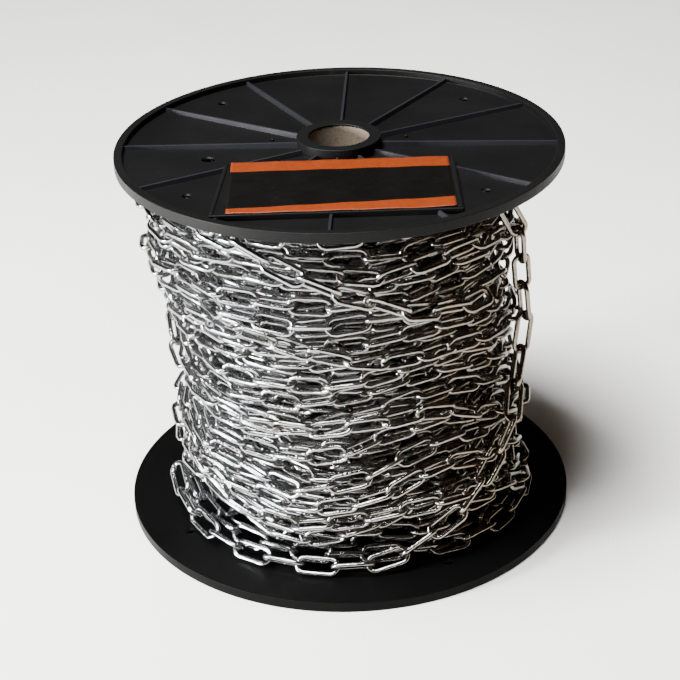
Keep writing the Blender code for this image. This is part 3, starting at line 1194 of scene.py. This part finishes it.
@dataclass
class Winding:
    """All the chain but its loose strands: a dark core of painted shade, and passes of links laid over it one
    after another.

    The laying goes a few links at a time. It tries some ways on, each of which moves the line sideways or
    rolls the links by a share of a turn, lets the links of each sink on the map of what is already laid,
    and keeps the one that lies deepest.
    """

    box: Box
    shape: LinkShape
    seed: int = 20
    # Height and radius over the links in mm, at the left and at the right
    left_profile: Profile = (
        (10, 186),
        (45, 185),
        (75, 177),
        (110, 168),
        (150, 163),
        (200, 170),
        (255, 172),
        (280, 188),
        (376, 186),
    )
    right_profile: Profile = (
        (10, 178),
        (45, 184),
        (90, 184),
        (125, 171),
        (218, 165),
        (305, 168),
        (376, 172),
    )
    depth: float = 62 * MM
    height_limit: float = 4 * MM
    core_inset: float = 3 * MM
    passes: tuple[Pass, ...] = (
        Pass("first_turns", False, 21 * MM, 3 * MM, 1, 1.01),
        Pass("inner_turns", True, 21 * MM, 3 * MM, 1, 1.0),
        Pass("middle_turns", False, 22 * MM, 4 * MM, 2, 1.02),
        Pass("outer_turns", True, 25 * MM, 5 * MM, 2, 1.03, True),
        Pass("crossing_turns", False, 90 * MM, 8 * MM, 2, 1.3, True),
    )
    edge: float = 10.5 * MM
    calm_edge: float = 40 * MM
    wave_count: int = 3
    start_angle: float = math.radians(150)
    start_rise: float = 8 * MM
    start_roll: float = 0.4
    roll_step: float = math.radians(28)
    tension_slack: float = 2 * MM
    side_price: float = 1.0
    # Each way on has a shift sideways and a number of roll steps
    choices: tuple[tuple[float, int], ...] = (
        (0.0, 0),
        (0.0, 1),
        (0.0, -1),
        (-6 * MM, 0),
        (6 * MM, 0),
        (-12 * MM, 0),
        (12 * MM, 0),
    )
    contact: float = 4.4 * MM
    check_spacing: float = 6.3 * MM
    stamp_spacing: float = 2.1 * MM
    chunk: int = 8
    look_ahead: int = 4
    rounds: int = 9
    # A point past the near share of a link lifts its far joint, and one short of the far share its near joint
    near_share: float = 0.4
    far_share: float = 0.6
    # Least square of a link's run round the reel, so that a steep link still has one
    least_square: float = 1e-8
    seat_width: float = 26 * MM
    seat: float = 9.2 * MM
    run_height: float = 60 * MM
    run_clearance: float = 20 * MM
    run_blend: float = math.radians(60)
    # One in this many points of the last turn's smooth route is looked at
    stride: int = 16
    bore: float = 37.8 * MM
    core_rows: int = 36
    core_steps: int = 96
    map: SurfaceMap = field(init=False)
    route: list[Joint] = field(init=False)
    draw: random.Random = field(init=False)
    check_points: list[Place] = field(init=False)
    stamp_points: list[Place] = field(init=False)

    def __post_init__(self) -> None:
        """Prepares the map and the points of a link that are tested against it and added to it."""
        self.draw = random.Random(self.seed)
        self.route = smooth_route(LAST_TURN_ROUTE)[:: self.stride]
        self.map = SurfaceMap(self.box[0].z, self.box[1].z, self.contact, self.core_radius)
        self.check_points = self.shape.middle_line(self.check_spacing)
        self.stamp_points = self.shape.middle_line(self.stamp_spacing)

    @property
    def floor(self) -> float:
        """Lowest height for the chain's middle."""
        return self.box[0].z + self.edge

    @property
    def ceiling(self) -> float:
        """Greatest height for the chain's middle."""
        return self.box[1].z - self.edge

    def outer_radius(self, angle: float, height: float) -> float:
        """Radius over the links, between the left profile at 180 degrees and the right one at 0.

        Args:
            angle: Angle round the reel.
            height: Height above the floor.

        Returns:
            The radius.
        """
        left = eased(self.left_profile, height / MM) * MM
        right = eased(self.right_profile, height / MM) * MM
        return (left + right) / 2 + (right - left) / 2 * math.cos(angle)

    def seat_limit(self, angle: float, height: float) -> float:
        """Largest radius here that leaves room for the last turn.

        Args:
            angle: Angle round the reel.
            height: Height above the floor.

        Returns:
            The radius, which grows with the distance from the last turn.
        """
        limit = math.inf
        for joint in self.route:
            sideways = math.remainder(angle - joint.angle, math.tau) * joint.radius
            away = math.hypot(sideways, height - joint.height)
            rise = max(0.0, away - self.seat_width)
            limit = min(limit, joint.radius - self.seat + rise)
        return limit

    def core_radius(self, angle: float, height: float) -> float:
        """Radius of the surface that the first pass lies on."""
        return min(self.outer_radius(angle, height), self.seat_limit(angle, height)) - self.depth

    def lowest(self, angle: float, keeps_clear: bool) -> float:
        """Lowest height for the chain's middle at an angle.

        Args:
            angle: Angle round the reel.
            keeps_clear: Whether it stays above the last turn's run on the lower flange.

        Returns:
            The height.
        """
        low = self.floor
        if not keeps_clear:
            return low
        for joint in self.route:
            if joint.height < self.run_height:
                away = abs(math.remainder(angle - joint.angle, math.tau))
                part = max(0.0, 1 - away / self.run_blend)
                above = joint.height + self.run_clearance - low
                low = max(low, low + above * part * part * (3 - 2 * part))
        return low

    def path(self, run: Pass, phases: Sequence[float], travelled: float, angle: float) -> float:
        """Height of a pass's line after it has gone round by an angle.

        Args:
            run: The pass.
            phases: Where each of its waves starts.
            travelled: The angle that it has gone round.
            angle: Angle round the reel.

        Returns:
            The height.
        """
        low, high = self.floor, self.ceiling
        rise = run.turn_pitch * travelled / math.tau
        level = low + rise if run.upward else high - rise
        calm = min(1.0, max(0.0, min(level - low, high - level) / self.calm_edge))
        for index, phase in enumerate(phases):
            wave = math.sin(travelled * (run.waves + index) * run.drift + phase)
            level += calm * run.wobble / (index + 1) * wave
        least = self.lowest(angle, run.keeps_clear)
        level = least + (level - low) * (high - least) / (high - low)
        return min(max(level, least), high)

    def needs(self, start: Place, end: Place, roll: float) -> list[Place]:
        """What the map asks of a link, at points along its wire.

        Args:
            start: Angle and height of the link's first joint.
            end: Angle and height of its second joint.
            roll: Its roll about the chain's line.

        Returns:
            Each point's share along the link, and the least radius of the chord there.
        """
        pitch = self.shape.pitch
        mean = self.map.mean_radius
        rise = (end[1] - start[1]) / pitch
        flat = math.sqrt(max(0.0, 1 - rise * rise))
        asks = []
        for along, across in self.check_points:
            share = 0.5 + along / pitch
            sideways = across * math.cos(roll)
            angle = start[0] + (end[0] - start[0]) * share - sideways * rise / mean
            height = start[1] + (end[1] - start[1]) * share + sideways * flat
            sag = (pitch * pitch / 4 - along * along) / (2 * mean)
            least = self.map.at(angle, height) + sag - across * math.sin(roll)
            asks.append((min(max(share, 0.0), 1.0), least))
        return asks

    def settle(self, radius: float, asks: Sequence[Sequence[Place]]) -> list[float]:
        """Least radii of the joints after a fixed one, each link clear of the map and the chain taut.

        Args:
            radius: The first joint's radius, which is kept.
            asks: What the map asks of each link.

        Returns:
            Radii of all the joints.
        """
        tops = [max(need for _, need in points) for points in asks]
        radii = [radius] + [max(pair) for pair in zip(tops, tops[1:] + tops[-1:])]
        chord = self.shape.pitch**2 / (2 * self.map.mean_radius) + self.tension_slack
        for _ in range(self.rounds):
            for index in range(1, len(radii)):
                least = 0.0
                if index + 1 < len(radii):
                    least = (radii[index - 1] + radii[index + 1]) / 2 - chord
                    for share, need in asks[index]:
                        if share < self.far_share:
                            least = max(least, (need - radii[index + 1] * share) / (1 - share))
                least_share = self.far_share if index == 1 else self.near_share
                for share, need in asks[index - 1]:
                    if share > least_share:
                        least = max(least, (need - radii[index - 1] * (1 - share)) / share)
                radii[index] = (radii[index] + least) / 2
        return radii

    def way_on(self, run: Pass, phases: Sequence[float], head: Head, side: float, steps: int) -> Way:
        """Tries one way on for the next links.

        Args:
            run: The pass.
            phases: Where each of its waves starts.
            head: How far the laying has come.
            side: How far from the pass's line it moves.
            steps: By how many steps it rolls the links on.

        Returns:
            The way.
        """
        roll = head.roll + steps * self.roll_step
        turn = self.shape.pitch / head.radius
        track = [(head.angle, self.path(run, phases, head.travelled, head.angle) + head.side)]
        rolls = []
        for index in range(self.chunk + self.look_ahead):
            part = min(1.0, (index + 1) / self.chunk)
            gone = head.travelled + turn * (index + 1)
            angle = head.angle + turn * (index + 1)
            height = self.path(run, phases, gone, angle) + head.side + (side - head.side) * part
            height = min(max(height, self.lowest(angle, run.keeps_clear)), self.ceiling)
            track.append((angle, height))
            quarter = (head.count + index) % 2 * math.pi / 2
            rolls.append(head.roll + (roll - head.roll) * part + quarter)
        asks = [self.needs(start, end, rolled) for start, end, rolled in zip(track, track[1:], rolls)]
        radii = self.settle(head.radius, asks)
        return Way(sum(radii) + abs(side) * self.side_price, side, roll, track, rolls, radii)

    def follow(self, way: Way, start: Joint) -> list[LaidLink]:
        """Lays the next links along a way, each a pitch long.

        Args:
            way: The way.
            start: The first link's first joint.

        Returns:
            The links.
        """
        links = []
        for index in range(self.chunk):
            angle, height = way.track[index + 1]
            radius = min(way.radii[index + 1], self.outer_radius(angle, height) + self.height_limit)
            rise = height - start.height
            lift = radius - start.radius
            flat = math.sqrt(max(self.shape.pitch**2 - rise**2 - lift**2, self.least_square))
            half_turn = math.asin(min(1.0, flat / (2 * math.sqrt(start.radius * radius))))
            end = Joint(start.angle + 2 * half_turn, height, radius)
            links.append(LaidLink(start, end, way.rolls[index], self.draw.random()))
            start = end
        return links

    def lay(self) -> dict[str, list[LaidLink]]:
        """Lays all the passes.

        Returns:
            The links of each pass, by its name.
        """
        radius = self.core_radius(self.start_angle, self.box[0].z) + self.start_rise
        head = Head(self.start_angle, radius, 0.0, self.start_roll)
        laid: dict[str, list[LaidLink]] = {}
        waiting: list[LaidLink] = []
        for run in self.passes:
            laid[run.name] = []
            phases = [self.draw.uniform(0, math.tau) for _ in range(self.wave_count)]
            head.travelled = 0.0
            whole = (self.box[1].z - self.box[0].z - 2 * self.edge) / run.turn_pitch * math.tau
            while head.travelled < whole:
                ways = [self.way_on(run, phases, head, side, steps) for side, steps in self.choices]
                way = min(ways, key=lambda tried: tried.cost)
                start = waiting[-1].end if waiting else Joint(head.angle, way.track[0][1], head.radius)
                links = self.follow(way, start)
                laid[run.name] += links
                waiting += links
                end = links[-1].end
                head.travelled += end.angle - head.angle
                head.angle, head.radius, head.side, head.roll = end.angle, end.radius, way.side, way.roll
                head.count += len(links)
                # The last two links stay off the map, because the next ones start inside them
                for link in waiting[:-2]:
                    self.stamp(link)
                waiting = waiting[-2:]
        for link in waiting:
            self.stamp(link)
        return laid

    def stamp(self, link: LaidLink) -> None:
        """Adds a laid link to the map.

        Args:
            link: The link.
        """
        matrix = link.matrix()
        for along, across in self.stamp_points:
            self.map.stamp(matrix @ Vector((along, across, 0)))

    def build_core(self, material: bpy.types.Material) -> None:
        """Builds the dark body inside, a painted shade that stands for the turns that no one sees.

        It is spun as a ring with an outer wall one metre out, which is then drawn in to the core's radius.

        Args:
            material: Its finish.
        """
        low, high = self.box
        far_out, rows = 1.0, self.core_rows
        corners = [(far_out, high.z + (low.z - high.z) * row / rows) for row in range(rows + 1)]
        corners += [(self.bore, low.z), (self.bore, high.z)]
        builder = bmesh.new()
        points = [builder.verts.new((radius, 0, height)) for radius, height in corners]
        outline = [builder.edges.new(pair) for pair in zip(points, points[1:] + points[:1])]
        bmesh.ops.spin(
            builder,
            geom=outline,
            cent=(0, 0, 0),
            axis=(0, 0, 1),
            angle=math.tau,
            steps=self.core_steps,
            use_merge=True,
        )
        for vert in builder.verts:
            if math.hypot(vert.co.x, vert.co.y) > far_out / 2:
                angle = math.atan2(vert.co.y, vert.co.x)
                vert.co = polar(self.core_radius(angle, vert.co.z) - self.core_inset, angle, vert.co.z)
        bmesh.ops.remove_doubles(builder, verts=builder.verts, dist=MERGE_DISTANCE)
        bmesh.ops.recalc_face_normals(builder, faces=builder.faces)
        hand_in(finish_mesh("winding_core", builder, material), ["chain_winding"])


def join_links(
    name: str, links: Sequence[LaidLink], template: bpy.types.Mesh, material: bpy.types.Material
) -> bpy.types.Object:
    """One object of many links, each a copy of the same link mesh with a tone of its own.

    Args:
        name: The piece's name.
        links: Where the links lie.
        template: The link's mesh.
        material: Its finish.

    Returns:
        The joined object.
    """
    builder = bmesh.new()
    for link in links:
        copy = template.copy()
        copy.attributes["link_tone"].data.foreach_set("value", [link.tone] * len(copy.vertices))
        copy.transform(link.matrix())
        builder.from_mesh(copy)
        bpy.data.meshes.remove(copy)
    return finish_mesh(name, builder, material)


@dataclass
class Strand:
    """A length of chain along a route of its own, such as the loose last turn."""

    route: Route
    shape: LinkShape
    map: SurfaceMap
    roll: float = math.radians(45)
    pitch: float = 34.4 * MM
    lie: float = 6.5 * MM
    most_lift: float = 7 * MM
    most_tone: float = 0.5
    seed: int = 7

    def lifted(self, joint: Joint) -> Joint:
        """Moves a joint out if the winding below it stands higher than the route's seat.

        Args:
            joint: A place on the route.

        Returns:
            The joint there.
        """
        step = self.shape.width / 4
        near = [
            self.map.at(joint.angle + across * step / joint.radius, joint.height + up * step)
            for across in (-2, -1, 0, 1, 2)
            for up in (-1, 0, 1)
        ]
        least = max(near) + self.lie - self.shape.wire / 2
        return Joint(joint.angle, joint.height, min(max(joint.radius, least), joint.radius + self.most_lift))

    def links(self) -> list[LaidLink]:
        """Lays the links a pitch apart along the route, each rolled to the other side.

        Returns:
            The strand's links.
        """
        draw = random.Random(self.seed)
        route = [self.lifted(joint) for joint in smooth_route(self.route)]
        joints = [route[0]]
        for joint in route[1:]:
            gone = joint.place() - joints[-1].place()
            if gone.length >= self.pitch:
                place = joints[-1].place() + gone.normalized() * self.pitch
                radius = math.hypot(place.x, place.y)
                joints.append(Joint(math.atan2(place.y, place.x), place.z, radius))
        pairs = zip(joints, joints[1:])
        return [
            LaidLink(start, end, self.roll if index % 2 == 0 else -self.roll, draw.random() * self.most_tone)
            for index, (start, end) in enumerate(pairs)
        ]


@dataclass(frozen=True)
class SoftBox:
    """A soft light, square to where it looks."""

    name: str
    place: tuple[float, float, float]
    size: tuple[float, float]
    power: float
    colour: str = "#ffffff"

    def build(self, target: Vector) -> None:
        """Adds the light.

        Args:
            target: The place it looks at.
        """
        data = bpy.data.lights.new(self.name, "AREA")
        data.shape = "RECTANGLE"
        data.size, data.size_y = self.size
        data.energy = self.power
        data.color = linear(self.colour)[:3]
        light = bpy.data.objects.new(self.name, data)
        turned = (target - Vector(self.place)).to_track_quat("-Z", "Y").to_matrix().to_4x4()
        light.matrix_world = Matrix.Translation(self.place) @ turned
        bpy.context.scene.collection.objects.link(light)


@dataclass
class Studio:
    """Camera, floor, surrounding room, and soft lights: a low key, a dim warm fill and one overhead."""

    place: tuple[float, float, float] = (0.0, -1.5644, 0.9937)
    pitch: float = math.radians(27.736)
    yaw: float = math.radians(-0.199)
    roll: float = math.radians(-1.940)
    lens: float = 92.41
    floor_radius: float = 9.0
    floor_sides: int = 96
    horizon: tuple[float, float] = (0.03, 0.16)
    pale: float = 0.9
    dark: float = 0.03
    shade_at_right: float = 0.22
    left_colour: str = "#f6f7f8"
    right_colour: str = "#d8b48c"
    right_reach: float = 0.8
    lights_target: tuple[float, float, float] = (0.0, 0.0, 0.2)
    lights: tuple[SoftBox, ...] = (
        SoftBox("key_front_left", place=(-2.1, -0.9, 0.55), size=(0.5, 0.6), power=250),
        SoftBox("fill_right", place=(2.2, -1.0, 0.8), size=(0.4, 0.8), power=2, colour="#ffb878"),
        SoftBox("overhead", place=(-0.8, -0.5, 3.2), size=(1.4, 1.4), power=430),
    )

    def build_camera(self) -> None:
        """Sets the camera at the photograph's angle."""
        level = math.cos(self.pitch)
        forward = Vector((math.sin(self.yaw) * level, math.cos(self.yaw) * level, -math.sin(self.pitch)))
        right = Vector((math.cos(self.yaw), -math.sin(self.yaw), 0))
        down = forward.cross(right)
        across = right * math.cos(self.roll) - down * math.sin(self.roll)
        below = right * math.sin(self.roll) + down * math.cos(self.roll)
        data = bpy.data.cameras.new("camera")
        data.lens = self.lens
        camera = bpy.data.objects.new("camera", data)
        turned = Matrix((across, -below, -forward)).transposed()
        camera.matrix_world = Matrix.Translation(self.place) @ turned.to_4x4()
        bpy.context.scene.collection.objects.link(camera)
        bpy.context.scene.camera = camera

    def build_floor(self) -> None:
        """Lays a wide pale floor."""
        builder = bmesh.new()
        bmesh.ops.create_circle(builder, cap_ends=True, segments=self.floor_sides, radius=self.floor_radius)
        floor = finish_mesh("floor", builder, PaperSweep().build())

    def build_surround(self) -> None:
        """Surrounds the reel with a room, pale at the horizon, dark above and dimmer at the right."""
        world = bpy.data.worlds.new("surround")
        world.use_nodes = True
        tree = world.node_tree
        direction = add_node(tree, "ShaderNodeTexCoord", {}, {}).outputs["Generated"]
        parts = add_node(tree, "ShaderNodeSeparateXYZ", {}, {0: direction})
        low, high = self.horizon
        fade = {"From Min": low, "From Max": high, "To Min": self.pale, "To Max": self.dark}
        level = add_node(tree, "ShaderNodeMapRange", fade, {"Value": parts.outputs["Z"]}).outputs["Result"]
        reach = {"From Min": 0.0, "From Max": self.right_reach}
        right = add_node(tree, "ShaderNodeMapRange", reach, {"Value": parts.outputs["X"]}).outputs["Result"]
        colours = (linear(self.left_colour), linear(self.right_colour))
        tones = {"data_type": "RGBA", Mix.FIRST: colours[0], Mix.SECOND: colours[1]}
        colour = add_node(tree, "ShaderNodeMix", tones, {Mix.SHARE: right}).outputs[Mix.RESULT]
        dimmed = {"To Min": 1.0, "To Max": self.shade_at_right}
        shade = add_node(tree, "ShaderNodeMapRange", dimmed, {"Value": right}).outputs["Result"]
        strength = add_node(tree, "ShaderNodeMath", {"operation": "MULTIPLY"}, {0: level, 1: shade})
        feed(tree, tree.nodes["Background"], {}, {"Color": colour, "Strength": strength.outputs[0]})
        bpy.context.scene.world = world

    def build(self) -> None:
        """Builds the whole studio."""
        self.build_camera()
        self.build_floor()
        self.build_surround()
        for light in self.lights:
            light.build(Vector(self.lights_target))


def main() -> None:
    """Builds the studio and the reel, piece by piece."""
    Studio().build()
    plastic = MouldedPlastic("moulded_black_polypropylene").build()
    # The ribs' plastic: glossier, and painted lighter and dustier, a painted sheen for the bright bands along
    # the ribs
    rubbed = MouldedPlastic(
        "black_polypropylene_painted_sheen", colour="#16161a", dust_share=0.2, shine=(0.5, 0.6), specular=0.16
    ).build()
    # The lower flange's plastic: a darker copy of the moulded plastic, painted shade, with less gloss
    painted_shade_plastic = MouldedPlastic(
        "black_polypropylene_painted_shade", colour="#050505", dust="#1f1d1a", dust_share=0.05, specular=0.04
    ).build()
    zinc = ZincPlate("bright_zinc_plated_steel").build()
    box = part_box("top_flange")
    upper = Flange("top_flange", box, Face.UP, turn=math.radians(-3), hub_rise=6 * MM, has_pad=True)
    upper.build(plastic, rubbed)
    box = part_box("bottom_flange")
    lower = Flange("bottom_flange", box, Face.DOWN, turn=math.radians(14.5), hub_rise=0.0, has_pad=False)
    lower.build(painted_shade_plastic, painted_shade_plastic)
    CoreTube(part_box("core_tube")).build(KraftBoard("spiral_wound_kraft_board").build())
    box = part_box("label")
    Label(box).build(PrintedFilm("printed_polypropylene_film", near=box[0].y, far=box[1].y).build())
    winding = Winding(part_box("chain_winding"), LinkShape())
    laid = winding.lay()
    winding.build_core(InnerTurns("zinc_in_deep_shade").build())
    template = winding.shape.mesh()
    for name, links in laid.items():
        hand_in(join_links(name, links, template, zinc), ["chain_winding"])
    bpy.data.meshes.remove(template)
    fine = LinkShape(wire_sides=12, end_steps=12)
    last = Strand(LAST_TURN_ROUTE, fine, winding.map)
    crossing = Strand(CROSSING_ROUTE, fine, winding.map, most_lift=16 * MM, seed=11)
    foot = Strand(FOOT_ROUTE, fine, winding.map, most_lift=0.0, seed=5)
    nodes = [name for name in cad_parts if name.startswith("last_turn_link_")]
    template = fine.mesh()
    hand_in(join_links("last_turn", last.links(), template, zinc), nodes)
    for name, strand in {"crossing_strand": crossing, "foot_strand": foot}.items():
        hand_in(join_links(name, strand.links(), template, zinc), ["chain_winding"])
    bpy.data.meshes.remove(template)


if __name__ == "__main__":
    logging.basicConfig(level=logging.INFO, format="%(message)s")
    main()
